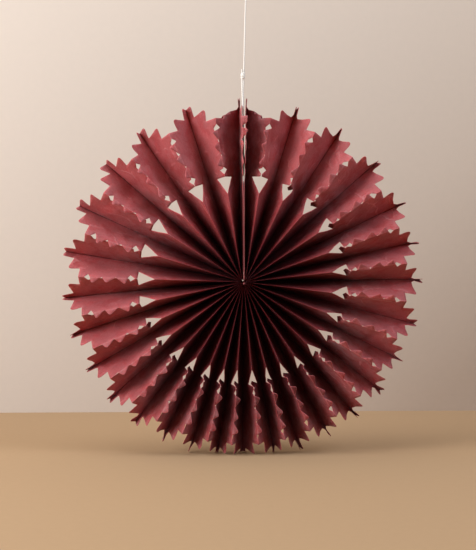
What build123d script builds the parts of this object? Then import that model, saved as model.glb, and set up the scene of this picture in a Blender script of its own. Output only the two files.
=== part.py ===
from build123d import *
import os
from math import cos, pi, radians, sin, sqrt, tan

# Driving sizes of the folded paper, in millimetres and degrees
tip_radius = 150.0  # hub to the tips of the petals
pleat_width = 32.0  # valley fold to mountain fold on the flat strip
paper_thickness = 0.25
crest_width = 0.55  # blunt crest that every fold keeps
root_radius = 7.0  # inside this the pleats are pressed into one stack
petals_each_side = 14  # to the left and to the right of the bottom petal
crowding_left = 0.385  # how much the pleats crowd together at the bottom, on either side
crowding_right = 0.31
seam_angle = 179.4  # from the bottom petal to the last valley fold on either side
seam_room = 1.3  # half the room that the seam keeps at the hub for the string

# Rim of the die cut: distances in from the tip, and across from the valley fold
tip_notch = 2.2  # shallow notch of the swallowtail on the valley fold
prong_width = 7.5
prong_length = 9.8
prong_notch_width = 6.7
middle_tooth_in = 6.6
middle_tooth_width = 21.1
middle_notch_in = 15.8
middle_notch_width = 20.1
bridge_outer_in = 15.4
bridge_inner_in = 20.3

# Saw teeth along the mountain folds: distances in from the tip
eyelet_in = 23.3  # small hole inside the bridge
eyelet_depth = 5.0  # below the mountain fold
tooth_tips_in = (27.0, 38.6, 54.2)
tooth_notches_in = (34.6, 46.0, 57.6)
tooth_reach = 5.2  # past the mountain fold
tooth_bend = 24.0  # degrees that the teeth lean over the next petal
slit = 0.8  # notch bottoms below the mountain fold
last_notch_depth = 8.0

# Large opening: distances in from the tip, and across from the valley fold
opening_tooth_in = 61.6
opening_tooth_depth = 0.9  # below the mountain fold
opening_outer_in = 64.0
neck_width = 16.8
opening_inner_in = 77.5
stem_station_in = 117.0  # where the twisted stem changes facet

# Free front edges of the two end panels at the seam, to the left and right
seam_edge_left = -0.3
seam_edge_right = 1.4

# String
string_diameter = 1.3
strand_depth = 4.5  # of either strand before and behind the middle of the seam
string_x = 0.2
string_entry_in = 3.0  # in from the tips, where the long strand goes into the seam
tail_exit_in = 14.0  # in from the tips, where the short strand leaves it
tail_turn_out = 8.0  # out from the tips, where the short strand turns up to the knot
strand_gap = 1.6  # between the two strands where they run into the knot
tail_length = 1.6  # end of the string above the knot
knot_radius = 2.0
knot_height = 6.0
knot_x = -0.1
knot_out = 18.3  # out from the tips
top_knot_x = 2.4
top_knot_rise = 74.7  # above the lower knot
loop_radius = 5.0
loop_gap = 1.8  # between the two ends of the loop in the top knot

os.makedirs("parts", exist_ok=True)
half_paper = paper_thickness / 2
back = Vector(0, 1, 0)


def radial(angle):
    # Outward direction in the plane of the fan, counted from straight down
    return Vector(sin(angle), 0, -cos(angle))


def tangent(angle):
    return Vector(cos(angle), 0, sin(angle))


def squeeze(angle, u):
    # The string in the seam pushes every fold a little towards the bottom petal
    return angle * (1 - seam_room / (pi * u))


def valley_angle(k):
    share = abs(k) / petals_each_side
    crowding = crowding_right if k > 0 else crowding_left
    turn = radians(seam_angle) * ((1 - crowding) * share + crowding * share**2)
    return turn if k > 0 else -turn


def mountain_angle(k):
    # Mountain fold between petal k and petal k + 1
    return (valley_angle(k) + valley_angle(k + 1)) / 2


def half_depth(pitch, u):
    # Pleat depth that keeps the panel as wide as the flat strip
    spread = 2 * u * sin(pitch / 2) - crest_width
    return sqrt(max(pleat_width**2 - spread**2, (0.3 * pleat_width) ** 2)) / 2


def valley_point(k, side, u):
    low = max(k - 1, -petals_each_side)
    high = min(k, petals_each_side - 1)
    pitch = (valley_angle(high + 1) - valley_angle(low)) / (high + 1 - low) / 2
    angle = squeeze(valley_angle(k), u)
    return radial(angle) * u + tangent(angle) * (side * crest_width / 2) + back * half_depth(pitch, u)


def mountain_point(k, side, u):
    # Crest edge that panel (k, side) ends on, or the free edge of an end panel
    if k * side == petals_each_side:
        edge = seam_edge_right if side > 0 else seam_edge_left
        return Vector(edge, -half_depth(0, u), sqrt(u**2 - edge**2))
    ridge = k if side > 0 else k - 1
    pitch = (valley_angle(ridge + 1) - valley_angle(ridge)) / 2
    angle = squeeze(mountain_angle(ridge), u)
    return radial(angle) * u - tangent(angle) * (side * crest_width / 2) - back * half_depth(pitch, u)


def die_cut():
    # Named points of one panel on the flat strip: radius, and distance from the valley fold
    w = pleat_width
    points = {
        "tip": (0, prong_width),
        "prong_notch": (prong_length, prong_notch_width),
        "middle_tooth": (middle_tooth_in, middle_tooth_width),
        "middle_notch": (middle_notch_in, middle_notch_width),
        "eyelet": (eyelet_in, w - eyelet_depth),
        "notch_a": (tooth_notches_in[0], w - slit),
        "notch_b": (tooth_notches_in[1], w - slit),
        "notch_c": (tooth_notches_in[2], w - last_notch_depth),
        "opening_tooth": (opening_tooth_in, w - opening_tooth_depth),
        "neck": (opening_outer_in, neck_width),
    }
    mountain = (tip_radius - root_radius, stem_station_in, opening_inner_in, bridge_inner_in, bridge_outer_in)
    valley = mountain[:3] + (opening_outer_in,) + tuple(reversed(tooth_notches_in))
    valley += (eyelet_in, middle_notch_in, prong_length, tip_notch)
    points.update({f"m{i}": (d, w) for i, d in enumerate(mountain)})
    points.update({f"v{i}": (d, 0) for i, d in enumerate(valley)})
    return {name: (tip_radius - d, across / w) for name, (d, across) in points.items()}


# Facets of one panel by the names above, and its saw teeth with the fold line of each
facets = (
    "v0 v1 m1 m0",
    "v1 v2 m2 m1",
    "v2 v3 neck m2",
    "v3 v4 notch_c opening_tooth neck",
    "v4 v5 notch_b notch_c",
    "v5 v6 notch_a notch_b",
    "v6 v7 eyelet notch_a",
    "v7 v8 middle_notch m4 m3 eyelet",
    "v8 v9 prong_notch middle_tooth middle_notch",
    "v9 v10 tip prong_notch",
)
teeth = ("notch_a eyelet", "notch_b notch_a", "notch_c notch_b")
valley_stations = 11


def panel_points(k, side, outline):
    # Front and back point of every named point of panel (k, side)
    pairs = {}
    for name, (u, v) in outline.items():
        foot = valley_point(k, side, u)
        across = mountain_point(k, side, u) - foot
        normal = radial(squeeze(valley_angle(k), u)).cross(across).normalized() * side
        free_edge = k * side == petals_each_side and v == 1
        if v in (0, 1) and not free_edge:
            shift = (normal - back) * (half_paper / (1 - normal.dot(back)))
        else:
            shift = normal * half_paper
        middle = foot + across * v
        pairs[name] = (middle + shift, middle - shift)
    for i, base in enumerate(teeth):
        u = tip_radius - tooth_tips_in[i]
        foot = valley_point(k, side, u)
        across = (mountain_point(k, side, u) - foot).normalized()
        normal = radial(squeeze(valley_angle(k), u)).cross(across).normalized() * side
        bend = radians(tooth_bend)
        lean = across * cos(bend) - normal * sin(bend)
        middle = foot + across * (pleat_width - slit) + lean * (tooth_reach + slit)
        shift = (normal * cos(bend) + across * sin(bend)) * half_paper
        pairs[f"tooth{i}"] = (middle + shift, middle - shift)
    return pairs


def triangles_of(names):
    return [(names[0], names[i], names[i + 1]) for i in range(1, len(names) - 1)]


def sheet_triangles():
    # The whole sheet as triangles of keys, and the front and back point of each key
    outline = die_cut()
    pairs = {}
    sheet = []
    numbers = range(-petals_each_side, petals_each_side + 1)
    for k in numbers:
        for side in (-1, 1):
            for name, pair in panel_points(k, side, outline).items():
                pairs[(k, side, name)] = pair
            end_panel = k * side == petals_each_side
            shapes = [f.split() for f in facets]
            if side > 0 or end_panel:
                shapes += [t.split() + [f"tooth{i}"] for i, t in enumerate(teeth)]
            for shape in shapes:
                sheet += triangles_of([(k, side, name) for name in shape])
        for i in range(valley_stations - 1):
            low, high = f"v{i}", f"v{i + 1}"
            sheet += triangles_of([(k, -1, low), (k, -1, high), (k, 1, high), (k, 1, low)])
    for k in numbers[:-1]:
        for low, high in (("m0", "m1"), ("m1", "m2"), ("m3", "m4")):
            sheet += triangles_of([(k, 1, low), (k, 1, high), (k + 1, -1, high), (k + 1, -1, low)])
    return sheet, pairs


def edge_triangles(sheet):
    # Edges that only one triangle has are cut edges of the paper
    count = {}
    for triangle in sheet:
        for i in range(3):
            edge = frozenset((triangle[i - 1], triangle[i]))
            count[edge] = count.get(edge, 0) + 1
    return [tuple(edge) for edge, n in count.items() if n == 1]


def root_polygons(pairs):
    # Walls and end faces of the pressed stack of pleat roots
    n = petals_each_side
    numbers = range(-n, n + 1)
    walls = []
    front_ring = []
    back_ring = []
    for k in numbers:
        front = [pairs[(k, s, m)][0] for s, m in ((-1, "m0"), (-1, "v0"), (1, "v0"), (1, "m0"))]
        walls += triangles_of(front)
        front_ring += [front[0], front[3]]
        back_ring += [pairs[(k, -1, "v0")][1], pairs[(k, 1, "v0")][1]]
        if k < n:
            keys = ((k, 1, "v0"), (k, 1, "m0"), (k + 1, -1, "m0"), (k + 1, -1, "v0"))
            walls += triangles_of([pairs[key][1] for key in keys])
    ends = [pairs[(n, 1, "m0")][1], pairs[(-n, -1, "m0")][1]]
    walls += triangles_of([pairs[(n, 1, "v0")][1], *ends, pairs[(-n, -1, "v0")][1]])
    for ring in (front_ring + ends, back_ring):
        centre = Vector(0, sum(p.Y for p in ring) / len(ring), 0)
        walls += [(centre, ring[i - 1], ring[i]) for i in range(len(ring))]
    return walls


def pleated_paper():
    sheet, pairs = sheet_triangles()
    skin = [tuple(pairs[key][face] for key in triangle) for triangle in sheet for face in (0, 1)]
    for a, b in edge_triangles(sheet):
        if {a[2], b[2]} <= {"v0", "m0"}:
            continue
        skin += triangles_of([pairs[a][0], pairs[b][0], pairs[b][1], pairs[a][1]])
    skin += root_polygons(pairs)
    return Solid(Shell([Face(Wire.make_polygon(corners)) for corners in skin]))


def corner_radii(points):
    # Each bend of the string is as large as the two runs beside it allow
    radii = []
    for a, b, c in zip(points, points[1:], points[2:]):
        turn = radians((b - a).get_angle(c - b))
        radii.append(0.45 * min((b - a).length, (c - b).length) / tan(turn / 2))
    return radii


def string_tube(points, name):
    points = [Vector(*p) for p in points]
    radii = corner_radii(points)
    path = FilletPolyline(*points, radius=radii)
    start = Plane(origin=path @ 0, z_dir=path % 0)
    tube = sweep(start * Circle(string_diameter / 2), path=path)
    wanted = pi * string_diameter**2 / 4 * path.length
    print(name, "length", round(path.length, 1), "volume ratio", round(tube.volume / wanted, 4))
    print(name, "bend radii", [round(r, 1) for r in radii])
    return tube


def knot(x, z):
    # Barrel with rounded shoulders and flat ends
    barrel = Cylinder(knot_radius, knot_height)
    return Pos(x, 0, z) * fillet(barrel.edges().filter_by(GeomType.CIRCLE), 0.35 * knot_radius)


# Route of the string from the top knot down through the seam, round the hub and back to its knot
hub_z = root_radius + string_diameter / 2
knot_z = tip_radius + knot_out
top_knot_z = knot_z + top_knot_rise
main_x = knot_x + strand_gap / 2
tail_x = knot_x - strand_gap / 2
string_route = [
    (top_knot_x, 0, top_knot_z - knot_height / 2),
    (main_x, 0.5, knot_z),
    (string_x, strand_depth, tip_radius - string_entry_in),
    (string_x, strand_depth, hub_z),
    (string_x, -strand_depth, hub_z),
    (string_x, -strand_depth, tip_radius - tail_exit_in),
    (tail_x, -0.9, tip_radius + tail_turn_out),
    (tail_x, -0.5, knot_z + knot_height / 2 + tail_length),
]
# Route of the small loop that the string ends in, out of the top knot and back into it
loop_z = top_knot_z + knot_height / 2
loop_route = [
    (top_knot_x - loop_gap / 2, 0, loop_z),
    (top_knot_x - loop_radius, 0, loop_z + 2.0 * loop_radius),
    (top_knot_x - loop_radius, 0, loop_z + 4.0 * loop_radius),
    (top_knot_x + loop_radius, 0, loop_z + 4.0 * loop_radius),
    (top_knot_x + loop_radius, 0, loop_z + 2.0 * loop_radius),
    (top_knot_x + loop_gap / 2, 0, loop_z),
]

paper = pleated_paper()
string = string_tube(string_route, "hanging_string")
top_loop = string_tube(loop_route, "top_loop")
parts = {
    "pleated_paper": paper,
    "hanging_string": string,
    "string_knot": knot(knot_x, knot_z) - string,
    "top_knot": knot(top_knot_x, top_knot_z) - top_loop - string,
    "top_loop": top_loop,
}
# The leaning teeth reach out at the front, so the origin is moved to the middle of the whole depth
to_middle = Pos(0, -paper.bounding_box().center().Y, 0)
print("moved back by", round(to_middle.position.Y, 3))
for name, solid in parts.items():
    solid = to_middle * solid
    export_step(solid, f"parts/{name}.step")
    print(name, "volume", round(solid.volume, 1), "valid", solid.is_valid, "solids", len(solid.solids()))
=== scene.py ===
import math
import random
import bmesh
import bpy
from mathutils import Matrix, Vector, noise


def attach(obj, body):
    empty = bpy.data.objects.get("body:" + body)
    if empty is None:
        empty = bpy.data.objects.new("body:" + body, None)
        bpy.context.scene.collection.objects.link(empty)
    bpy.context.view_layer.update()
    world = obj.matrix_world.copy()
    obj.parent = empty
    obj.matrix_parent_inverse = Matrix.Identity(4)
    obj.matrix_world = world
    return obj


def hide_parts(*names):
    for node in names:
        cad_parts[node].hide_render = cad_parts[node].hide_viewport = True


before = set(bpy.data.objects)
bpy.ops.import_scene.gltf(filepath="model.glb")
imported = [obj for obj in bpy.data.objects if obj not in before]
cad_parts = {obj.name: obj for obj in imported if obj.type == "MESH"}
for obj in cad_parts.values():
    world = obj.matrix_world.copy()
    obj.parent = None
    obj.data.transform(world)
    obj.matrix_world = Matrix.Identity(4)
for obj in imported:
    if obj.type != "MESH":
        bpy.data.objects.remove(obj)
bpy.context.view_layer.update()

scene = bpy.context.scene
scene.view_settings.view_transform = "Standard"
mm = 0.001
tipRadius = 150.0 * mm
pleatWidth = 32.0 * mm  # from a valley fold to the next mountain fold
pleatMiddle = 3.584 * mm  # middle of the pleats in Y, the leaning teeth stand out in front of it
stripScale = 10  # the paper's UV map is the flat strip, in tenths of a metre


# camera, set from where the hub and the rim are in the picture
photoView = {
    "width": 476,
    "height": 550,
    "hubPixel": (243.0, 280.5),
    "tipPixels": 182.5,  # from the hub to the tips
    "distance": 1.30,
    "left": 0.050,  # of the hub, in metres
    "up": 0.060,
    "sensor": 36,
    "clipStart": 0.05,
}


def makeCamera(view):
    pixelsPerMetre = view["tipPixels"] / tipRadius
    hub = Vector((0, pleatMiddle, 0))
    eye = hub + Vector((-view["left"], -view["distance"], view["up"]))
    offX = (view["width"] / 2 - view["hubPixel"][0]) / pixelsPerMetre
    offZ = (view["hubPixel"][1] - view["height"] / 2) / pixelsPerMetre
    aim = hub + Vector((offX, 0, offZ))
    data = bpy.data.cameras.new("photoCamera")
    data.sensor_width = view["sensor"]
    data.lens = view["sensor"] * pixelsPerMetre * view["distance"] / view["height"]
    data.clip_start = view["clipStart"]
    camera = bpy.data.objects.new("photoCamera", data)
    scene.collection.objects.link(camera)
    camera.location = eye
    camera.rotation_euler = (aim - eye).to_track_quat("-Z", "Y").to_euler()
    scene.camera = camera
    print("camera lens", round(data.lens, 1))


makeCamera(photoView)


# node helpers
def newMaterial(name):
    material = bpy.data.materials.new(name)
    material.use_nodes = True
    tree = material.node_tree
    shader = tree.nodes["Principled BSDF"]
    return material, tree, shader


def addNode(tree, kind, **values):
    node = tree.nodes.new(kind)
    for key, value in values.items():
        if hasattr(node, key):
            setattr(node, key, value)
        else:
            node.inputs[key].default_value = value
    return node


def mathNode(tree, operation, first, second=None, third=None, clamp=False):
    node = tree.nodes.new("ShaderNodeMath")
    node.operation = operation
    node.use_clamp = clamp
    for socket, value in zip(node.inputs, (first, second, third)):
        if value is None:
            continue
        if isinstance(value, (int, float)):
            socket.default_value = value
        else:
            tree.links.new(value, socket)
    return node.outputs[0]


def mixColour(tree, factor, first, second):
    node = tree.nodes.new("ShaderNodeMix")
    node.data_type = "RGBA"
    for socket, value in ((node.inputs[0], factor), (node.inputs[6], first), (node.inputs[7], second)):
        if isinstance(value, (int, float, tuple)):
            socket.default_value = value
        else:
            tree.links.new(value, socket)
    return node.outputs[2]


def ramp(tree, value, low, high):
    node = tree.nodes.new("ShaderNodeMapRange")
    node.interpolation_type = "SMOOTHSTEP"
    node.inputs["From Min"].default_value = low
    node.inputs["From Max"].default_value = high
    tree.links.new(value, node.inputs["Value"])
    return node.outputs[0]


def splitVector(tree, vector):
    node = tree.nodes.new("ShaderNodeSeparateXYZ")
    tree.links.new(vector, node.inputs[0])
    return node.outputs


def noiseOn(tree, place, scale, detail, roughness=0.5):
    node = addNode(tree, "ShaderNodeTexNoise", Scale=scale, Detail=detail, Roughness=roughness)
    tree.links.new(place.outputs["Object"], node.inputs["Vector"])
    return node


def markOn(tree, name):
    node = tree.nodes.new("ShaderNodeAttribute")
    node.attribute_name = name
    return node.outputs["Fac"]


def stackBumps(tree, shader, layers):
    # each layer is a height, a strength and a distance
    under = None
    for height, strength, distance in layers:
        bump = addNode(tree, "ShaderNodeBump", Strength=strength, Distance=distance)
        tree.links.new(height, bump.inputs["Height"])
        if under is not None:
            tree.links.new(under, bump.inputs["Normal"])
        under = bump.outputs[0]
    tree.links.new(under, shader.inputs["Normal"])


# paper finishes
paperFinish = {
    "base": (0.368, 0.045, 0.051, 1),
    "deep": (0.280, 0.027, 0.032, 1),
    "worn": (0.560, 0.190, 0.200, 1),
    "cut": (0.560, 0.180, 0.190, 1),
    "paintedShade": (0.060, 0.006, 0.008, 1),
    "cloudScale": 55.0,
    "fibreScale": 700.0,
    "creaseScale": 38.0,
    "creaseWander": 0.012,
    "blotchScale": 95.0,
    "crumpleScale": 130.0,
    "frayScale": 900.0,
    "mottle": 0.16,
    "hubShade": 0.75,
    "pleatShade": 1.1,
    "bottomShade": 0.62,
    "rightShade": 0.16,
    "mostShade": 0.96,
    "valleyShade": 0.65,
    "valleyLine": 0.018,  # widths on the strip's UV map
    "crestLine": 0.009,
    "foldLine": 0.0005,
    "crestPaling": 0.30,
    "creaseRub": 0.40,
    "edgeRub": 0.45,
    "roughness": 0.74,
    "roughnessSpread": 0.16,
    "edgeRoughness": 0.8,
    "satin": 0.6,
    "satinLost": 0.92,
    "stemSatin": 0.3,
    "satinTint": (0.92, 0.94, 1.0, 1),
    "sheen": 0.10,
    "sheenRoughness": 0.45,
    "sheenTint": (0.96, 0.94, 1.0, 1),
    "glow": 0.75,  # light that goes through the paper
    "glowRadius": (1.0, 0.25, 0.25),
    "glowScale": 0.0008,
    "fibreBump": (0.18, 0.0002),
    "crumpleBump": (0.60, 0.0012),
    "creaseBump": (0.50, 0.0006),
}
panelOnStrip = pleatWidth * stripScale


def paintPleatShade(tree, finish, place, along, sunk):
    # painted shade: the paper is painted darker down in the pleats and towards the hub, where the shade is
    # deepest
    shaded = mathNode(tree, "MULTIPLY_ADD", along, -1.0, finish["hubShade"])
    shaded = mathNode(tree, "MULTIPLY_ADD", sunk, finish["pleatShade"], shaded)
    # more painted shade at the bottom, where the pleats are closest together, and a little at the right, away
    # from the strongest lamp
    facing = addNode(tree, "ShaderNodeVectorMath", operation="NORMALIZE")
    tree.links.new(place.outputs["Object"], facing.inputs[0])
    where = splitVector(tree, facing.outputs[0])
    crowded = ramp(tree, mathNode(tree, "MULTIPLY", where["Z"], -1.0), 0.42, 1.0)
    shaded = mathNode(tree, "MULTIPLY_ADD", crowded, finish["bottomShade"], shaded)
    rightwards = ramp(tree, where["X"], 0.1, 0.9)
    shaded = mathNode(tree, "MULTIPLY_ADD", rightwards, finish["rightShade"], shaded)
    paintedShade = mathNode(tree, "MULTIPLY", ramp(tree, shaded, -0.15, 0.62), finish["mostShade"])
    # painted shade also where the mesh marks the paper as tucked away, and along the valley folds
    paintedShade = mathNode(tree, "MAXIMUM", paintedShade, markOn(tree, "paintedShade"))
    valley = ramp(tree, sunk, panelOnStrip - finish["valleyLine"], panelOnStrip - finish["foldLine"])
    return mathNode(tree, "MAXIMUM", paintedShade, mathNode(tree, "MULTIPLY", valley, finish["valleyShade"]))


def creaseLines(tree, finish, place, cloud):
    # a net of creases, a little out of true, that shows only in places
    bent = addNode(tree, "ShaderNodeVectorMath", operation="MULTIPLY_ADD")
    tree.links.new(cloud.outputs["Color"], bent.inputs[0])
    bent.inputs[1].default_value = (finish["creaseWander"],) * 3
    tree.links.new(place.outputs["Object"], bent.inputs[2])
    cells = addNode(tree, "ShaderNodeTexVoronoi", Scale=finish["creaseScale"], feature="DISTANCE_TO_EDGE")
    tree.links.new(bent.outputs[0], cells.inputs["Vector"])
    line = mathNode(tree, "SUBTRACT", 1.0, ramp(tree, cells.outputs["Distance"], 0.0, 0.045))
    return mathNode(tree, "MULTIPLY", line, ramp(tree, cloud.outputs[0], 0.50, 0.62))


def rubbedSatin(tree, finish, place, along, paintedShade):
    # a satin that has been rubbed in blotches, and is lost on the stems and in the pleats
    blotch = noiseOn(tree, place, finish["blotchScale"], 5.0, 0.62)
    satin = mathNode(tree, "ADD", ramp(tree, blotch.outputs[0], 0.36, 0.66), finish["satin"])
    lit = mathNode(tree, "MULTIPLY_ADD", paintedShade, -finish["satinLost"], 1.0)
    satin = mathNode(tree, "MULTIPLY", satin, lit)
    outside = ramp(tree, along, 0.55, 0.95)
    petal = mathNode(tree, "MULTIPLY_ADD", outside, 1 - finish["stemSatin"], finish["stemSatin"])
    return mathNode(tree, "MINIMUM", mathNode(tree, "MULTIPLY", satin, petal), 1.0)


def makePaper(finish):
    material, tree, shader = newMaterial("burgundyPaper")
    place = tree.nodes.new("ShaderNodeTexCoord")
    strip = addNode(tree, "ShaderNodeUVMap", uv_map="stripFlat")
    flat = splitVector(tree, strip.outputs[0])
    along = flat["X"]
    raised = mathNode(tree, "PINGPONG", flat["Y"], panelOnStrip)  # none in the valleys, most on the mountains
    sunk = mathNode(tree, "MULTIPLY_ADD", raised, -1.0, panelOnStrip)
    cloud = noiseOn(tree, place, finish["cloudScale"], 4.0, 0.6)
    fibre = noiseOn(tree, place, finish["fibreScale"], 5.0, 0.65)
    crumple = noiseOn(tree, place, finish["crumpleScale"], 3.0, 0.55)
    tone = mixColour(tree, ramp(tree, cloud.outputs[0], 0.35, 0.7), finish["deep"], finish["base"])
    mottle = mathNode(tree, "MULTIPLY", ramp(tree, fibre.outputs[0], 0.3, 0.75), finish["mottle"])
    tone = mixColour(tree, mottle, tone, finish["worn"])
    # painted shade: the tone goes towards a near-black red in the pleats, towards the hub, at the bottom and
    # right, and on tucked-away parts
    paintedShade = paintPleatShade(tree, finish, place, along, sunk)
    tone = mixColour(tree, paintedShade, tone, finish["paintedShade"])
    # paler along the folds that stand out at the front, less so towards the hub
    crest = ramp(tree, raised, panelOnStrip - finish["crestLine"], panelOnStrip - finish["foldLine"])
    paling = mathNode(tree, "MULTIPLY", crest, ramp(tree, fibre.outputs[0], 0.2, 0.62))
    paling = mathNode(tree, "MULTIPLY", paling, ramp(tree, along, 0.1, 0.9))
    tone = mixColour(tree, mathNode(tree, "MULTIPLY", paling, finish["crestPaling"]), tone, finish["worn"])
    # ink rubbed off along a few creases
    line = creaseLines(tree, finish, place, cloud)
    line = mathNode(tree, "MULTIPLY", line, mathNode(tree, "SUBTRACT", 1.0, paintedShade, clamp=True))
    tone = mixColour(tree, mathNode(tree, "MULTIPLY", line, finish["creaseRub"]), tone, finish["worn"])
    # and along the cut edges
    pale = mathNode(tree, "MULTIPLY", ramp(tree, markOn(tree, "cutEdge"), 0.72, 1.0), finish["edgeRub"])
    tone = mixColour(tree, pale, tone, finish["cut"])
    tree.links.new(tone, shader.inputs["Base Color"])
    smoothest = finish["roughness"] - finish["roughnessSpread"] / 2
    rough = mathNode(tree, "MULTIPLY_ADD", cloud.outputs[0], finish["roughnessSpread"], smoothest)
    tree.links.new(rough, shader.inputs["Roughness"])
    satin = rubbedSatin(tree, finish, place, along, paintedShade)
    tree.links.new(satin, shader.inputs["Specular IOR Level"])
    shader.inputs["Specular Tint"].default_value = finish["satinTint"]
    tree.links.new(mathNode(tree, "MULTIPLY", satin, finish["sheen"]), shader.inputs["Sheen Weight"])
    shader.inputs["Sheen Roughness"].default_value = finish["sheenRoughness"]
    shader.inputs["Sheen Tint"].default_value = finish["sheenTint"]
    shader.inputs["Subsurface Weight"].default_value = finish["glow"]
    shader.inputs["Subsurface Radius"].default_value = finish["glowRadius"]
    shader.inputs["Subsurface Scale"].default_value = finish["glowScale"]
    stackBumps(tree, shader, (
        (fibre.outputs[0], *finish["fibreBump"]),
        (crumple.outputs[0], *finish["crumpleBump"]),
        (line, *finish["creaseBump"]),
    ))
    return material


def makeCutEdge(finish):
    material, tree, shader = newMaterial("paperCutEdge")
    place = tree.nodes.new("ShaderNodeTexCoord")
    fray = noiseOn(tree, place, finish["frayScale"], 3.0)
    tone = mixColour(tree, fray.outputs[0], finish["base"], finish["cut"])
    tree.links.new(tone, shader.inputs["Base Color"])
    shader.inputs["Roughness"].default_value = finish["edgeRoughness"]
    return material


# cotton of the string
cottonFinish = {
    "between": (0.80, 0.79, 0.76, 1),
    "ply": (0.95, 0.95, 0.93, 1),
    "plyTurn": math.radians(32),
    "plyScale": 260.0,
    "fuzzScale": 3500.0,
    "fuzz": 0.3,
    "roughness": 0.85,
    "sheen": 0.3,
    "sheenRoughness": 0.5,
    "bump": (0.6, 0.0002),
}


def makeCotton(finish):
    material, tree, shader = newMaterial("whiteCotton")
    place = tree.nodes.new("ShaderNodeTexCoord")
    turn = tree.nodes.new("ShaderNodeMapping")
    turn.inputs["Rotation"].default_value = (0, finish["plyTurn"], 0)
    tree.links.new(place.outputs["Object"], turn.inputs["Vector"])
    ply = addNode(tree, "ShaderNodeTexWave", Scale=finish["plyScale"], Distortion=0.6, Detail=1.0)
    ply.bands_direction = "Z"
    tree.links.new(turn.outputs[0], ply.inputs["Vector"])
    fuzz = noiseOn(tree, place, finish["fuzzScale"], 3.0)
    tone = mixColour(tree, ramp(tree, ply.outputs["Fac"], 0.0, 0.6), finish["between"], finish["ply"])
    tree.links.new(tone, shader.inputs["Base Color"])
    shader.inputs["Roughness"].default_value = finish["roughness"]
    shader.inputs["Sheen Weight"].default_value = finish["sheen"]
    shader.inputs["Sheen Roughness"].default_value = finish["sheenRoughness"]
    height = mathNode(tree, "MULTIPLY_ADD", fuzz.outputs[0], finish["fuzz"], ply.outputs["Fac"])
    stackBumps(tree, shader, ((height, *finish["bump"]),))
    return material


burgundyPaper = makePaper(paperFinish)
paperCutEdge = makeCutEdge(paperFinish)
whiteCotton = makeCotton(cottonFinish)
print("paper and cotton finishes made")


# string and loop, the same route points as the solids
stringRoute = [
    (2.4, 0, 240.0),
    (0.7, 0.5, 168.3),
    (0.2, 4.5, 147.0),
    (0.2, 4.5, 16.65),
    (0.2, 4.5, 7.65),
    (0.2, -4.5, 7.65),
    (0.2, -4.5, 16.65),
    (0.2, -4.5, 136.0),
    (-0.9, -0.9, 158.0),
    (-0.9, -0.5, 172.9),
]
loopRoute = [
    (1.5, 0, 246.0),
    (-2.6, 0, 256.0),
    (-2.6, 0, 266.0),
    (7.4, 0, 266.0),
    (7.4, 0, 256.0),
    (3.3, 0, 246.0),
]
stringSize = {
    "diameter": 1.3 * mm,
    "length": 0.4037,
    "loopLength": 0.0475,
    "seamExit": (0.2 * mm, pleatMiddle, 147 * mm),
    "loopExit": (1.5 * mm, pleatMiddle, 246 * mm),
    "roundness": 4,
    "smoothness": 24,
}


def makeString(name, route, node):
    data = bpy.data.curves.new(name, "CURVE")
    data.dimensions = "3D"
    data.bevel_depth = stringSize["diameter"] / 2
    data.bevel_resolution = stringSize["roundness"]
    data.use_fill_caps = True
    spline = data.splines.new("NURBS")
    spline.points.add(len(route) - 1)
    for point, (x, y, z) in zip(spline.points, route):
        point.co = (x * mm, y * mm + pleatMiddle, z * mm, 1)
    spline.order_u = 3
    spline.use_endpoint_u = True
    spline.resolution_u = stringSize["smoothness"]
    data.materials.append(whiteCotton)
    piece = bpy.data.objects.new(name, data)
    scene.collection.objects.link(piece)
    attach(piece, "root")
    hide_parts(node)
    return piece


def finishMesh(name, bm, materials, node):
    data = bpy.data.meshes.new(name)
    bm.to_mesh(data)
    bm.free()
    for material in materials:
        data.materials.append(material)
    piece = bpy.data.objects.new(name, data)
    scene.collection.objects.link(piece)
    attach(piece, "root")
    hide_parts(node)
    return piece


# knots: a few turns of the string wound round its strands, with one turn pulled across them
knotShape = {
    "radius": 2.0 * mm,
    "inside": 0.02 * mm,  # keeps the turns inside the solid's barrel
    "thick": 0.9,  # of the string's diameter, pulled tight
    "woundTurns": ((-1.9, (0.10, -0.14)), (-0.75, (-0.08, 0.16)), (0.4, (0.12, 0.10))),  # mm up, tilt
    "woundSquash": 0.92,
    "acrossTurn": (1.55, (0.30, -0.42)),
    "acrossRadius": 0.82,
    "acrossThick": 1.05,
    "acrossSquash": 0.95,
    "sides": 10,
    "steps": 28,
    "stringKnot": (-0.1, 168.3),  # mm right of the hub and above it
    "topKnot": (2.4, 243.0),
}


def ringOfString(bm, centre, radius, thick, tilt, squash):
    made = bmesh.ops.create_circle(bm, segments=knotShape["sides"], radius=thick / 2)
    ring = made["verts"]
    bmesh.ops.rotate(bm, verts=ring, cent=(0, 0, 0), matrix=Matrix.Rotation(math.pi / 2, 3, "X"))
    bmesh.ops.translate(bm, verts=ring, vec=(radius, 0, 0))
    edges = list(dict.fromkeys(e for v in ring for e in v.link_edges))
    before = set(bm.verts) - set(ring)
    bmesh.ops.spin(bm, geom=ring + edges, cent=(0, 0, 0), axis=(0, 0, 1), angle=2 * math.pi,
                   steps=knotShape["steps"], use_merge=True)
    turn = [v for v in bm.verts if v not in before]
    bmesh.ops.scale(bm, verts=turn, vec=(1, squash, 1))
    bmesh.ops.rotate(bm, verts=turn, cent=(0, 0, 0), matrix=Matrix.Rotation(tilt[0], 3, "X"))
    bmesh.ops.rotate(bm, verts=turn, cent=(0, 0, 0), matrix=Matrix.Rotation(tilt[1], 3, "Y"))
    bmesh.ops.translate(bm, verts=turn, vec=centre)


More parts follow.
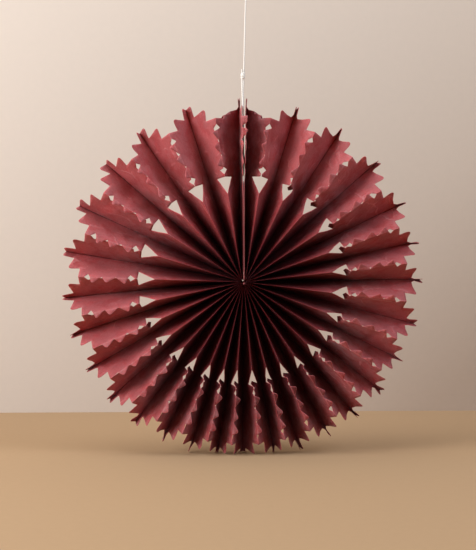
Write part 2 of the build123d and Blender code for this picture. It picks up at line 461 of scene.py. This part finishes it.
def makeKnot(name, node):
    bm = bmesh.new()
    x, z = knotShape[name]
    thick = stringSize["diameter"] * knotShape["thick"]
    radius = knotShape["radius"] - thick / 2 - knotShape["inside"]
    for up, tilt in knotShape["woundTurns"]:
        centre = (x * mm, pleatMiddle, (z + up) * mm)
        ringOfString(bm, centre, radius, thick, tilt, knotShape["woundSquash"])
    up, tilt = knotShape["acrossTurn"]
    centre = (x * mm, pleatMiddle, (z + up) * mm)
    ringOfString(bm, centre, radius * knotShape["acrossRadius"], thick * knotShape["acrossThick"], tilt,
                 knotShape["acrossSquash"])
    bmesh.ops.recalc_face_normals(bm, faces=bm.faces)
    for face in bm.faces:
        face.smooth = True
    return finishMesh(name, bm, [whiteCotton], node)


hangingString = makeString("hangingString", stringRoute, "hanging_string")
topLoop = makeString("topLoop", loopRoute, "top_loop")
stringKnot = makeKnot("stringKnot", "string_knot")
topKnot = makeKnot("topKnot", "top_knot")
print("string, loop and knots made")


# folded paper: one die-cut strip, folded panel by panel
foldedPaper = {
    "tipRadius": tipRadius,
    "pleatWidth": pleatWidth,
    "thickness": 0.25 * mm,
    "root": 1.2 * mm,
    "petalsEachSide": 14,
    "crowdingLeft": 0.385,
    "crowdingRight": 0.31,
    "outOfStep": {1: 1.3, 8: 1.4, 10: -1.0, -11: -1.5, -8: 1.1, -10: -0.7},  # petals a degree or so off
    "widest": 0.95,  # a panel spreads no wider than this share of its own width
    "sharpFold": math.radians(35),
    "seed": 7,

    # the seam on top, left edge and right edge
    "seamAngle": math.radians(179.4),
    "seamRoom": 1.3 * mm,
    "seamMiddle": 0.2 * mm,
    "seamEdges": {-1: -1.3 * mm, 1: 1.5 * mm},
    "seamShut": 0.3,
    "seamOpens": (75.0 * mm, 105.0 * mm),

    # the die cut in mm: how far in from the tip, how far across from the valley fold, rounding
    "prong": [(2.2, 0, 0), (-0.5, 8.2, 2.8), (9.8, 6.7, 0.6)],
    "middleTooth": [(5.6, 21.6, 3.2), (15.8, 20.1, 0.5)],
    "bridge": (15.4, 20.3),  # the mountain fold is whole between these
    "eyeletEnd": 23.3,
    "eyelet": {True: 4.3, False: 0.9},  # open or shut
    "shutEyelets": range(-13, 2),  # mountain folds at the lower left
    "toothTips": (27.0, 38.6, 54.2),
    "toothNotches": (34.6, 46.0, 57.6),
    "toothReach": 5.1,
    "toothRound": 1.9,
    "sawTeeth": (24, 58),
    "slit": 0.8,
    "slitEnd": 0.9,
    "lastNotch": {"clear": 6.6, "flap": 3.0, "across": 5.0},
    "openingLip": [(61.5, 0.2, 0), (63.6, 0.2, 0)],  # this and the flap are back from the mountain fold
    "flap": [(61.5, 0.2, 0), (62.0, 3.2, 0), (66.8, 3.6, 0.5), (68.4, 10.1, 0)],
    "openingCorner": (64.0, 16.8),
    "openingRound": 0.8,
    "stemShoulder": (69.6, 22.2),
    "stemEnd": 77.5,

    # cuts that let a flat panel bend: mm from the hub, and parts of the panel's width
    "rows": [2.5, 5, 8, 12, 16.5, 21.5, 27, 33, 39, 45, 51, 57, 62, 67, 71],
    "fineRows": {"start": 72.5, "step": 2.6, "count": 30},
    "columns": [0.6, 2.0, 4.2, 6.8, 9.6, 12.4, 15.2, 18.0, 20.8, 23.4, 25.6, 27.2, 28.0, 29.4, 31.0],
    "columnParts": 28.0,
    "cutMerge": 1e-6,
    "flatMerge": 2e-6,
    "foldMerge": 8e-6,

    # teeth, tabs and flaps bend about their hinges: bends in radians, places in mm as in the die cut
    "toothBend": (0.42, 0.85),
    "hingeRun": 1.2 * mm,
    "tabs": (15, 23.3),
    "tabDepth": 5 * mm,
    "tabBends": {-1: 1.25, 1: 0.15},  # the left free end's tabs lie across the string
    "lowTabs": 0.12,
    "flapPetals": {-1: range(-6, 4), 1: range(3, 13)},  # left and right of the valley fold
    "flapBend": 0.62,
    "flapRun": 1.0 * mm,
    "flapHinge": {"in": 61.6, "across": 31.1, "slant": 0.168},
    "flapArea": {"in": (61.7, 69.5), "stemSlant": 0.964, "stemGap": 0.3, "across": 29.2, "least": 0.05},

    # prongs are pressed together, most beside the seam and at the right
    "prongWidth": 8.4 * mm,
    "prongHinge": (11, 8),
    "prongPinch": {"seam": 0.9, "right": (0.38, 0.82), "lowerLeft": (0.25, 0.6), "upperLeft": (0.0, 0.2)},
    "upperLeftFrom": -8,
    "prongRise": (10, 0),
    "prongSpan": 6.6 * mm,
    "seamProngs": 0.25,

    # the rim beside the seam is bent back
    "curlFrom": 11.0 * mm,
    "curlSlant": 0.4,
    "curlStart": 8 * mm,
    "curlWidth": 11.5 * mm,
    "curlRadius": 2.0 * mm,
    "curlTurn": 1.9,

    # wear that differs from panel to panel, in mm, and where it comes in from the hub, in metres
    "bulge": (-0.5, 1.0),
    "bulgeFrom": (0.03, 0.09),
    "flare": (-1.6, 1.6),
    "flareFrom": (0.126, 0.150),
    "prongLift": (-2.6, 3.0),
    "creaseCounts": (1, 2, 2, 3),
    "creaseAt": (84, 122),
    "creaseSlant": (-0.7, 0.7),
    "creaseHeight": (-1.5, 1.5),
    "creaseReach": (8, 15),
    "crumples": ((70, 0, 0.45), (190, 5, 0.16)),  # per metre, layer of the noise, height
    "outerFrom": (0.045, 0.085),
    "innerCrumple": 0.35,
    "foldStrip": 0.16,

    # the floor that the lowest prongs bend on
    "restHeight": -143.4 * mm,
    "restGap": 0.15 * mm,
    "restSlope": 0.12,
    "restForwards": 0.9,

    # how much painted shade goes where the paper is tucked away in shade
    "flapPaintedShade": 0.9,
    "flapPaintedShadeFrom": 0.4 * mm,
    "seamPaintedShade": 0.5,
    "seamPaintedShadeLost": 0.2,
    "seamPaintedShadeFade": (0.6, 1.0),
    "prongPaintedShade": 0.8,
    "prongPaintedShadeFrom": (11, 7),
}
sideways = Vector((1, 0, 0))
forwards = Vector((0, -1, 0))


def dieCut(withTeeth, opening, eyelet):
    # corners of one panel on the flat strip, out along the valley fold and back along the mountain fold
    cut = foldedPaper
    w = cut["pleatWidth"] / mm
    root = (cut["tipRadius"] - cut["root"]) / mm
    low = w - cut["slit"]
    notches = cut["toothNotches"]
    teeth = [(tip, w + cut["toothReach"], cut["toothRound"]) for tip in cut["toothTips"]]
    corners = [(root, 0, 0)] + cut["prong"] + cut["middleTooth"]
    corners += [(edge, w, 0) for edge in cut["bridge"]]
    corners += [(cut["eyeletEnd"], w - cut["eyelet"][eyelet], 0)]
    if withTeeth:
        corners += [teeth[0], (notches[0], low, 0), teeth[1], (notches[1], low, 0), teeth[2]]
    else:
        corners += [(notches[0], low, 0), (notches[1], low, 0), (notches[2] - cut["slitEnd"], low, 0)]
    corners += [(notches[2], w - cut["lastNotch"][opening], 0)]
    lip = cut["flap" if opening == "flap" else "openingLip"]
    corners += [(d, w - back, r) for d, back, r in lip]
    corners += [(*cut["openingCorner"], 0 if opening == "flap" else cut["openingRound"])]
    return corners + [(*cut["stemShoulder"], 0), (cut["stemEnd"], w, 0), (root, w, 0)]


def openingKind(k, side):
    # cut-out flaps still hang in the openings at the right and at the bottom
    if k in foldedPaper["flapPetals"][side]:
        return "flap"
    return "across" if k + side in foldedPaper["flapPetals"][-side] else "clear"


def pastHinge(k, side, inTip, v):
    # how far past its hinge a point of the flap is, or nothing on the rest of the panel
    if openingKind(k, side) != "flap":
        return 0
    hinge = foldedPaper["flapHinge"]
    area = foldedPaper["flapArea"]
    cornerIn, cornerAcross = foldedPaper["openingCorner"]
    stem = cornerAcross + (inTip - cornerIn) * area["stemSlant"]
    past = inTip - hinge["in"] - (hinge["across"] - v / mm) * hinge["slant"]
    low, high = area["in"]
    inside = low < inTip < high and stem + area["stemGap"] < v / mm < area["across"]
    return past * mm if inside and past > area["least"] else 0


def flatPanel(withTeeth, opening, eyelet):
    bm = bmesh.new()
    tip = foldedPaper["tipRadius"]
    w = foldedPaper["pleatWidth"]
    corners = dieCut(withTeeth, opening, eyelet)
    verts = [bm.verts.new((tip - d * mm, v * mm, 0)) for d, v, r in corners]
    bm.faces.new(verts)
    for size in sorted({r for d, v, r in corners if r}):
        rounded = [vert for vert, (d, v, r) in zip(verts, corners) if r == size and vert.is_valid]
        bmesh.ops.bevel(bm, geom=rounded, offset=size * mm, offset_type="OFFSET", segments=4, profile=0.5,
                        affect="VERTICES", material=-1)
    fine = foldedPaper["fineRows"]
    rows = foldedPaper["rows"] + [fine["start"] + fine["step"] * i for i in range(fine["count"])]
    cuts = [((u * mm, 0, 0), (1, 0, 0)) for u in rows]
    cuts += [((0, v / foldedPaper["columnParts"] * w, 0), (0, 1, 0)) for v in foldedPaper["columns"]]
    for place, facing in cuts:
        bmesh.ops.bisect_plane(bm, geom=bm.verts[:] + bm.edges[:] + bm.faces[:], dist=foldedPaper["cutMerge"],
                               plane_co=place, plane_no=facing)
    bmesh.ops.remove_doubles(bm, verts=bm.verts, dist=foldedPaper["flatMerge"])
    bmesh.ops.triangulate(bm, faces=[f for f in bm.faces if len(f.verts) > 4])
    data = bpy.data.meshes.new("flatPanel")
    bm.to_mesh(data)
    bm.free()
    return data


def radial(angle):
    return Vector((math.sin(angle), 0, -math.cos(angle)))


def smoothStep(low, high, x):
    t = min(1.0, max(0.0, (x - low) / (high - low)))
    return t * t * (3 - 2 * t)


def foldAngle(half):
    # half counts the folds: even ones are valleys, odd ones are mountains
    if half % 2:
        return (foldAngle(half - 1) + foldAngle(half + 1)) / 2
    k = half // 2
    share = abs(k) / foldedPaper["petalsEachSide"]
    crowd = foldedPaper["crowdingRight" if k > 0 else "crowdingLeft"]
    angle = foldedPaper["seamAngle"] * ((1 - crowd) * share + crowd * share ** 2)
    return math.copysign(angle, k) + math.radians(foldedPaper["outOfStep"].get(k, 0))


def freeEdge(side, u):
    # the strip's two ends stand up the seam, closer together near the hub
    middle = foldedPaper["seamMiddle"]
    shut = foldedPaper["seamShut"]
    apart = shut + (1 - shut) * smoothStep(*foldedPaper["seamOpens"], u)
    x = middle + (foldedPaper["seamEdges"][side] - middle) * apart
    return Vector((x, -foldedPaper["pleatWidth"] / 2, math.sqrt(max(u * u - x * x, 0))))


def foldPoint(half, u):
    end = 2 * foldedPaper["petalsEachSide"] + 1
    if abs(half) == end:
        return freeEdge(1 if half > 0 else -1, u)
    w = foldedPaper["pleatWidth"]
    low, high = max(half - 1, -end + 1), min(half + 1, end - 1)
    pitch = (foldAngle(high) - foldAngle(low)) / (high - low)
    spread = min(2 * u * math.sin(pitch / 2), foldedPaper["widest"] * w)
    depth = math.sqrt(w * w - spread * spread) / 2
    angle = foldAngle(half) * (1 - foldedPaper["seamRoom"] / (math.pi * max(u, 1.0 * mm)))
    return radial(angle) * u + Vector((0, -depth if half % 2 else depth, 0))


def panelHabit(k, side):
    # how this panel has bent, creased and crumpled
    rng = random.Random(foldedPaper["seed"] * 1000 + 2 * k + (side > 0))
    creases = [(rng.uniform(*foldedPaper["creaseAt"]) * mm, rng.uniform(*foldedPaper["creaseSlant"]),
                rng.uniform(*foldedPaper["creaseHeight"]) * mm, rng.uniform(*foldedPaper["creaseReach"]) * mm)
               for i in range(rng.choice(foldedPaper["creaseCounts"]))]
    return {
        "bulge": rng.uniform(*foldedPaper["bulge"]) * mm,
        "creases": creases,
        "flare": rng.uniform(*foldedPaper["flare"]) * mm,
        "prong": rng.uniform(*foldedPaper["prongLift"]) * mm,
        "toothBends": [rng.uniform(*foldedPaper["toothBend"]) for i in range(3)],
        "noise": Vector((rng.uniform(0, 50), rng.uniform(0, 50), rng.uniform(0, 50))),
    }


def prongPinch(k):
    # how far a petal's two prongs are pressed together
    pinch = foldedPaper["prongPinch"]
    if abs(k) == foldedPaper["petalsEachSide"]:
        return pinch["seam"]
    left = "lowerLeft" if k > foldedPaper["upperLeftFrom"] else "upperLeft"
    spread = pinch["right" if k > 0 else left]
    return random.Random(foldedPaper["seed"] * 500 + k).uniform(*spread)


def seamPart(k, side):
    if abs(k) < foldedPaper["petalsEachSide"]:
        return None
    return "freeEnd" if k * side > 0 else "petal"


def curlOver(over):
    # how far along and how far behind a strip gets to when it is bent round
    radius = foldedPaper["curlRadius"]
    turn = min(over / radius, foldedPaper["curlTurn"])
    rest = over - radius * turn
    along = radius * math.sin(turn) + rest * math.cos(turn)
    behind = radius * (1 - math.cos(turn)) + rest * math.sin(turn)
    return along, behind


def bendOut(direction, towards, bend, reach):
    # the way from a hinge to a point that is bent out of the panel
    bend *= smoothStep(0, foldedPaper["hingeRun"], reach)
    return (direction * math.cos(bend) + towards * math.sin(bend)) * reach


def panelLift(part, habit, u, v, inTip):
    # how far wear has moved a point out of the flat of its panel
    w = foldedPaper["pleatWidth"]
    t = v / w
    bridgeStart, bridgeEnd = foldedPaper["bridge"]
    cutEdge = inTip < bridgeStart or bridgeEnd < inTip < foldedPaper["stemEnd"]
    strip = foldedPaper["foldStrip"]
    mask = smoothStep(0, strip, t) * (1 if cutEdge else smoothStep(0, strip, 1 - t))
    outer = smoothStep(*foldedPaper["outerFrom"], u)
    lift = habit["bulge"] * math.sin(math.pi * min(t, 1)) * smoothStep(*foldedPaper["bulgeFrom"], u)
    for place, slant, height, reach in habit["creases"]:
        off = abs(u - place + slant * (v - w / 2)) / reach
        if off < 1:
            lift += height * (1 - off) ** 2 * mask * outer
    crumple = sum(noise.noise(Vector((u * scale, v * scale, layer)) + habit["noise"]) * height
                  for scale, layer, height in foldedPaper["crumples"])
    inner = foldedPaper["innerCrumple"]
    lift += crumple * mm * mask * (inner + (1 - inner) * outer)
    if inTip < bridgeStart:
        lift += habit["flare"] * smoothStep(*foldedPaper["flareFrom"], u) * t
    prong = habit["prong"] * (foldedPaper["seamProngs"] if part else 1)
    return lift + prong * smoothStep(*foldedPaper["prongRise"], inTip) * min(1, v / foldedPaper["prongSpan"])


def panelPoint(k, side, habit, u, v):
    w = foldedPaper["pleatWidth"]
    part = seamPart(k, side)
    foot = foldPoint(2 * k, u)
    across = foldPoint(2 * k + side, u) - foot
    direction = across.normalized()
    outward = radial(foldAngle(2 * k))
    normal = outward.cross(direction).normalized() * side
    inTip = (foldedPaper["tipRadius"] - u) / mm
    point = foot + across * min(v / w, 1.0)
    prongStart, prongEnd = foldedPaper["prongHinge"]
    if v < foldedPaper["prongWidth"] and inTip < prongStart:
        pinch = prongPinch(k) * smoothStep(prongStart, prongEnd, inTip)
        point = foot + direction.lerp(forwards, pinch).normalized() * v
    tabStart, tabEnd = foldedPaper["tabs"]
    base = w - foldedPaper["tabDepth"]
    if part == "freeEnd" and v > base and tabStart < inTip < tabEnd:
        tab = bendOut(direction, sideways, foldedPaper["tabBends"][side], v - base)
        return foot + across * (base / w) + tab
    sawStart, sawEnd = foldedPaper["sawTeeth"]
    base = w - foldedPaper["slit"] * mm
    if v > base and sawStart < inTip < sawEnd:
        number = sum(inTip >= notch for notch in foldedPaper["toothNotches"][:2])
        bend = habit["toothBends"][number]
        towards = -normal
        if part == "freeEnd":
            bend = foldedPaper["tabBends"][side] * (foldedPaper["lowTabs"] if number else 1.0)
            towards = sideways
        tooth = bendOut(direction, towards, bend, v - base)
        return foot + across * (base / w) + tooth
    past = pastHinge(k, side, inTip, v)
    if past:
        bend = foldedPaper["flapBend"] * smoothStep(0, foldedPaper["flapRun"], past)
        hinge = point + outward * past
        return hinge - outward * past * math.cos(bend) - normal * past * math.sin(bend)
    if part == "petal" and v > foldedPaper["prongWidth"]:
        slant = foldedPaper["curlSlant"] * min(v - foldedPaper["curlStart"], foldedPaper["curlWidth"])
        over = foldedPaper["curlFrom"] + slant - inTip * mm
        if over > 0:
            along, behind = curlOver(over)
            point += outward * (along - over) + Vector((0, behind, 0))
    return point + normal * panelLift(part, habit, u, v, inTip)


def restOnFloor(point):
    # the lowest prongs bend forwards where they meet the floor
    under = foldedPaper["restHeight"] - point.z
    if under > 0:
        point.z = foldedPaper["restHeight"] + foldedPaper["restGap"] + foldedPaper["restSlope"] * under
        point.y -= foldedPaper["restForwards"] * under
    return point


def paintedShadeKept(k, side, u, v):
    # painted shade on the flaps, the petals beside the seam and the pressed prongs, which lie in shade
    inTip = (foldedPaper["tipRadius"] - u) / mm
    if pastHinge(k, side, inTip, v) > foldedPaper["flapPaintedShadeFrom"]:
        return foldedPaper["flapPaintedShade"]
    if seamPart(k, side) == "petal":
        lost = smoothStep(*foldedPaper["seamPaintedShadeFade"], v / foldedPaper["pleatWidth"])
        return foldedPaper["seamPaintedShade"] - foldedPaper["seamPaintedShadeLost"] * lost
    if v < foldedPaper["prongWidth"]:
        return foldedPaper["prongPaintedShade"] * prongPinch(k) * smoothStep(*foldedPaper["prongPaintedShadeFrom"], inTip)
    return 0


def makePaperFan():
    w = foldedPaper["pleatWidth"]
    last = foldedPaper["petalsEachSide"]
    panels = {(teeth, opening, eyelet): flatPanel(teeth, opening, eyelet)
              for teeth in (False, True) for opening in foldedPaper["lastNotch"] for eyelet in (False, True)}
    bm = bmesh.new()
    flat = bm.loops.layers.uv.new("stripFlat")
    edgeMark = bm.verts.layers.float.new("cutEdge")
    paintedShadeMark = bm.verts.layers.float.new("paintedShade")
    for k in range(-last, last + 1):
        for side in (-1, 1):
            first = len(bm.verts)
            firstFace = len(bm.faces)
            teeth = side > 0 or k == -last
            eyelet = 2 * k + side not in foldedPaper["shutEyelets"]
            bm.from_mesh(panels[teeth, openingKind(k, side), eyelet])
            bm.verts.ensure_lookup_table()
            bm.faces.ensure_lookup_table()
            habit = panelHabit(k, side)
            for face in bm.faces[firstFace:]:
                for loop in face.loops:
                    u, v = loop.vert.co.x, loop.vert.co.y
                    loop[flat].uv = (u * stripScale, (2 * k * w + side * v) * stripScale)
                if side < 0:
                    face.normal_flip()
            for vert in bm.verts[first:]:
                u, v = vert.co.x, vert.co.y
                # painted shade, marked on the flaps, the seam petals and the pressed prongs
                vert[paintedShadeMark] = paintedShadeKept(k, side, u, v)
                vert.co = restOnFloor(panelPoint(k, side, habit, u, v) + Vector((0, pleatMiddle, 0)))
    for data in panels.values():
        bpy.data.meshes.remove(data)
    bmesh.ops.remove_doubles(bm, verts=bm.verts, dist=foldedPaper["foldMerge"])
    for edge in bm.edges:
        if edge.is_boundary:
            for vert in edge.verts:
                vert[edgeMark] = 1.0 - vert[paintedShadeMark]
        elif len(edge.link_faces) == 2 and edge.calc_face_angle(0) > foldedPaper["sharpFold"]:
            edge.smooth = False
    for face in bm.faces:
        face.smooth = True
    print("paper has", len(bm.verts), "points and", len(bm.faces), "faces")
    piece = finishMesh("foldedPaper", bm, [burgundyPaper, paperCutEdge], "pleated_paper")
    thickness = piece.modifiers.new("paperThickness", "SOLIDIFY")
    thickness.thickness = foldedPaper["thickness"]
    thickness.offset = 0
    thickness.use_rim = True
    thickness.material_offset_rim = 1
    return piece


makePaperFan()
print("paper folded")


# plain floor and backdrop, lifted only where they are looked at; the backdrop's lift is painted light,
# brightest up and to the left
studio = {
    "floor": -143.6 * mm,
    "floorSize": 12.0,
    "floorTone": (0.395, 0.267, 0.157, 1),
    "floorGlow": (0.015, 0.010, 0.005, 1),
    "farFloor": (0.8, 2.4),  # metres from the hub
    "farGlow": 26.0,
    "backdropBehind": 0.275,
    "backdropSize": 6.0,
    "backdropTone": (0.50, 0.400, 0.325, 1),
    "backdropGlow": (0.295, 0.320, 0.325, 1),
    "paintedLightFade": (-0.9, 1.25, 0.35),  # per metre to the right, per metre up, and at the hub
    "grainScale": 160.0,
    "grain": 0.94,
    "roughness": 0.9,
    "specular": 0.2,
    "roomTone": (0.80, 0.72, 0.66, 1),
    "roomLight": 0.22,
}


def lookedAt(tree):
    # one for rays that look at a surface, and zero for rays that carry its light to others
    ray = tree.nodes.new("ShaderNodeLightPath")
    seen = mathNode(tree, "MAXIMUM", ray.outputs["Is Camera Ray"], ray.outputs["Is Glossy Ray"])
    return mathNode(tree, "MAXIMUM", seen, ray.outputs["Is Transmission Ray"])


def stageMaterial(name, tone, glow):
    material, tree, shader = newMaterial(name)
    place = tree.nodes.new("ShaderNodeTexCoord")
    grain = noiseOn(tree, place, studio["grainScale"], 6.0)
    darker = tuple(studio["grain"] * c for c in tone[:3]) + (1,)
    tree.links.new(mixColour(tree, grain.outputs[0], darker, tone), shader.inputs["Base Color"])
    shader.inputs["Roughness"].default_value = studio["roughness"]
    shader.inputs["Specular IOR Level"].default_value = studio["specular"]
    shader.inputs["Emission Color"].default_value = glow
    return material, tree, shader, place


def makeFloorMaterial():
    tone, glow = studio["floorTone"], studio["floorGlow"]
    material, tree, shader, place = stageMaterial("plainFloor", tone, glow)
    # the floor stays as pale far from the lamps
    reach = addNode(tree, "ShaderNodeVectorMath", operation="LENGTH")
    tree.links.new(place.outputs["Object"], reach.inputs[0])
    far = ramp(tree, reach.outputs["Value"], *studio["farFloor"])
    far = mathNode(tree, "MULTIPLY_ADD", far, studio["farGlow"], 1.0)
    tree.links.new(mathNode(tree, "MULTIPLY", lookedAt(tree), far), shader.inputs["Emission Strength"])
    return material


def makeBackdropMaterial():
    tone, glow = studio["backdropTone"], studio["backdropGlow"]
    material, tree, shader, place = stageMaterial("plainBackdrop", tone, glow)
    where = splitVector(tree, place.outputs["Object"])
    # painted light: the backdrop glows brighter towards the top and the left, like lamp light falling off
    perRight, perUp, atHub = studio["paintedLightFade"]
    level = mathNode(tree, "MULTIPLY_ADD", where["Z"], perUp, atHub)
    level = mathNode(tree, "MULTIPLY_ADD", where["X"], perRight, level, clamp=True)
    tree.links.new(mathNode(tree, "MULTIPLY", lookedAt(tree), level), shader.inputs["Emission Strength"])
    # clear from behind, so that the back of the fan can be looked at
    clear = tree.nodes.new("ShaderNodeBsdfTransparent")
    turned = tree.nodes.new("ShaderNodeNewGeometry")
    oneSided = tree.nodes.new("ShaderNodeMixShader")
    tree.links.new(turned.outputs["Backfacing"], oneSided.inputs[0])
    tree.links.new(shader.outputs[0], oneSided.inputs[1])
    tree.links.new(clear.outputs[0], oneSided.inputs[2])
    tree.links.new(oneSided.outputs[0], tree.nodes["Material Output"].inputs["Surface"])
    return material


def makeStagePlane(material, size, where, turn):
    bm = bmesh.new()
    bmesh.ops.create_grid(bm, x_segments=1, y_segments=1, size=size / 2)
    bmesh.ops.rotate(bm, verts=bm.verts, cent=(0, 0, 0), matrix=Matrix.Rotation(turn, 3, "X"))
    bmesh.ops.translate(bm, verts=bm.verts, vec=where)
    data = bpy.data.meshes.new(material.name)
    bm.to_mesh(data)
    bm.free()
    data.materials.append(material)
    piece = bpy.data.objects.new(material.name, data)
    scene.collection.objects.link(piece)


backdropMiddle = (0, studio["backdropBehind"], studio["floor"] + studio["backdropSize"] / 2)
makeStagePlane(makeFloorMaterial(), studio["floorSize"], (0, 0, studio["floor"]), 0)
makeStagePlane(makeBackdropMaterial(), studio["backdropSize"], backdropMiddle, math.pi / 2)


# soft light from both sides in front, and a broad lamp high up over the fan
lamps = {
    "left": {"at": (-1.10, -0.57, 0.44), "size": 0.8, "watts": 16.8, "tone": (1.0, 0.975, 0.95)},
    "right": {"at": (0.95, -0.56, 0.92), "size": 0.8, "watts": 8.6, "tone": (0.82, 0.89, 1.0)},
    "top": {"at": (-0.30, -0.06, 1.25), "size": 1.3, "watts": 12.5, "tone": (1.0, 0.96, 0.92)},
}
for name, lamp in lamps.items():
    data = bpy.data.lights.new(name, "AREA")
    data.shape = "DISK"
    data.size = lamp["size"]
    data.energy = lamp["watts"]
    data.color = lamp["tone"]
    light = bpy.data.objects.new(name, data)
    scene.collection.objects.link(light)
    light.location = lamp["at"]
    light.rotation_euler = (-Vector(lamp["at"])).to_track_quat("-Z", "Y").to_euler()

# the room is pale where it is looked at, and gives a weak fill light
world = bpy.data.worlds.new("softRoom")
scene.world = world
world.use_nodes = True
room = world.node_tree
background = room.nodes["Background"]
background.inputs["Color"].default_value = studio["roomTone"]
level = mathNode(room, "MAXIMUM", lookedAt(room), studio["roomLight"])
room.links.new(level, background.inputs["Strength"])
print("floor, backdrop and lamps made")
